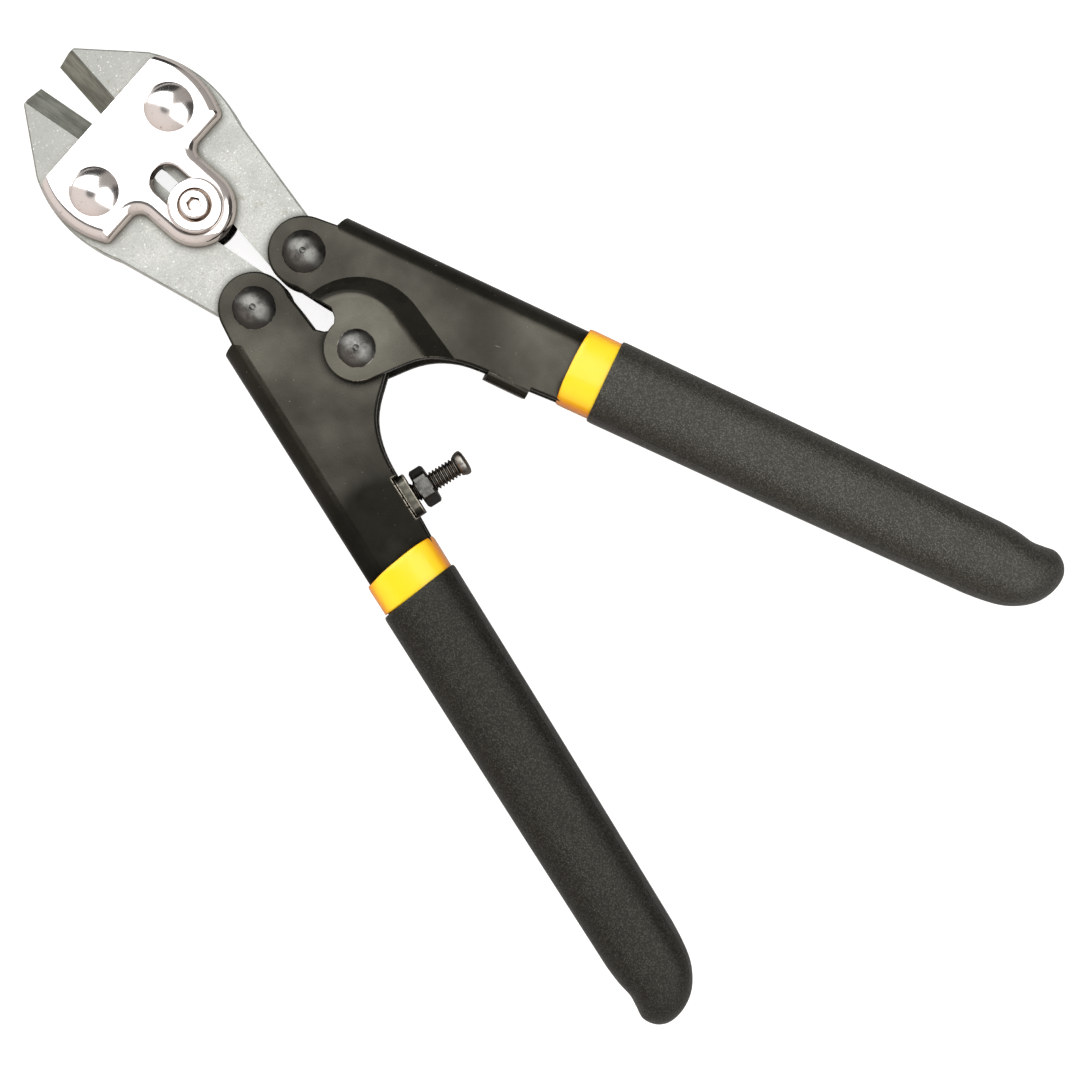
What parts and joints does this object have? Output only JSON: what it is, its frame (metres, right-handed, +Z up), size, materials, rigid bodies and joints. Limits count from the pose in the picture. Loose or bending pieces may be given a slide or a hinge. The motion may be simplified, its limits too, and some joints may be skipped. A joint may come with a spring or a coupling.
{
  "type": "bolt cutter",
  "caption": "Small hand bolt cutter: cutting jaws between riveted plates, compound-lever folded-steel handles with layered grips, a sliding lock and a closing-gap screw.",
  "frame": {"origin": "middle of the tool's plan on the surface it lies on, open", "axes": "+Y towards the jaw tips, +Z up out of the surface, +X towards the handle with the stop tab"},
  "size_m": [0.1152, 0.202, 0.014],
  "materials": {
    "bright_plate": "polished nickel plate",
    "jaw_steel": "blasted matt steel, ground bevels",
    "black_paint": "satin black paint, worn at edges",
    "black_steel": "blackened steel",
    "yellow_vinyl": "glossy",
    "black_rubber": "fine textured",
    "spring_steel": "plain"
  },
  "bodies": {
    "head": {"front_plate": "bright_plate", "rear_plate": "bright_plate", "left_jaw_rivet": "bright_plate", "right_jaw_rivet": "bright_plate"},
    "left_jaw": {"left_jaw": "jaw_steel"},
    "right_jaw": {"right_jaw": "jaw_steel"},
    "left_handle": {"left_handle_channel": "black_paint", "left_link_rivet": "black_steel", "centre_spacer": "jaw_steel", "left_grip_sleeve": "yellow_vinyl", "left_grip": "black_rubber"},
    "right_handle": {"right_handle_channel": "black_paint", "right_link_rivet": "black_steel", "centre_rivet": "black_steel", "right_grip_sleeve": "yellow_vinyl", "right_grip": "black_rubber"},
    "lock": {"lock_button": "bright_plate", "lock_screw": "bright_plate", "lock_back_button": "bright_plate", "lock_spring_washer": "spring_steel"},
    "adjusting_screw": {"adjusting_screw": "black_steel"},
    "adjusting_nut": {"adjusting_lock_nut": "black_steel"}
  },
  "joints": [
    {"name": "left_jaw_pivot", "type": "hinge", "parent": "head", "child": "left_jaw", "pos_m": [-0.0103, 0.07956, 0.007], "axis": [0, 0, 1], "range_deg": [-7, 0]},
    {"name": "right_jaw_pivot", "type": "hinge", "parent": "head", "child": "right_jaw", "pos_m": [0.0103, 0.07956, 0.007], "axis": [0, 0, 1], "range_deg": [0, 7]},
    {"name": "left_handle_pivot", "type": "hinge", "parent": "left_jaw", "child": "left_handle", "pos_m": [-0.00687, 0.04376, 0.007], "axis": [0, 0, 1], "range_deg": [0, 20.8]},
    {"name": "right_handle_pivot", "type": "hinge", "parent": "right_jaw", "child": "right_handle", "pos_m": [0.00687, 0.04376, 0.007], "axis": [0, 0, 1], "range_deg": [-20.8, 0]},
    {"name": "lock_slide", "type": "slide", "parent": "head", "child": "lock", "axis": [0, 1, 0], "range_m": [0, 0.007]},
    {"name": "screw_travel", "type": "slide", "parent": "left_handle", "child": "adjusting_screw", "axis": [0.9598, -0.2807, 0], "range_m": [-0.003, 0]},
    {"name": "nut_travel", "type": "slide", "parent": "left_handle", "child": "adjusting_nut", "axis": [0.9598, -0.2807, 0], "range_m": [-0.0008, 0]}
  ],
  "couplings": [
    {"joint": "left_jaw_pivot", "follows": "left_handle_pivot", "ratio": -0.336},
    {"joint": "right_jaw_pivot", "follows": "left_handle_pivot", "ratio": 0.336},
    {"joint": "right_handle_pivot", "follows": "left_handle_pivot", "ratio": -1}
  ]
}
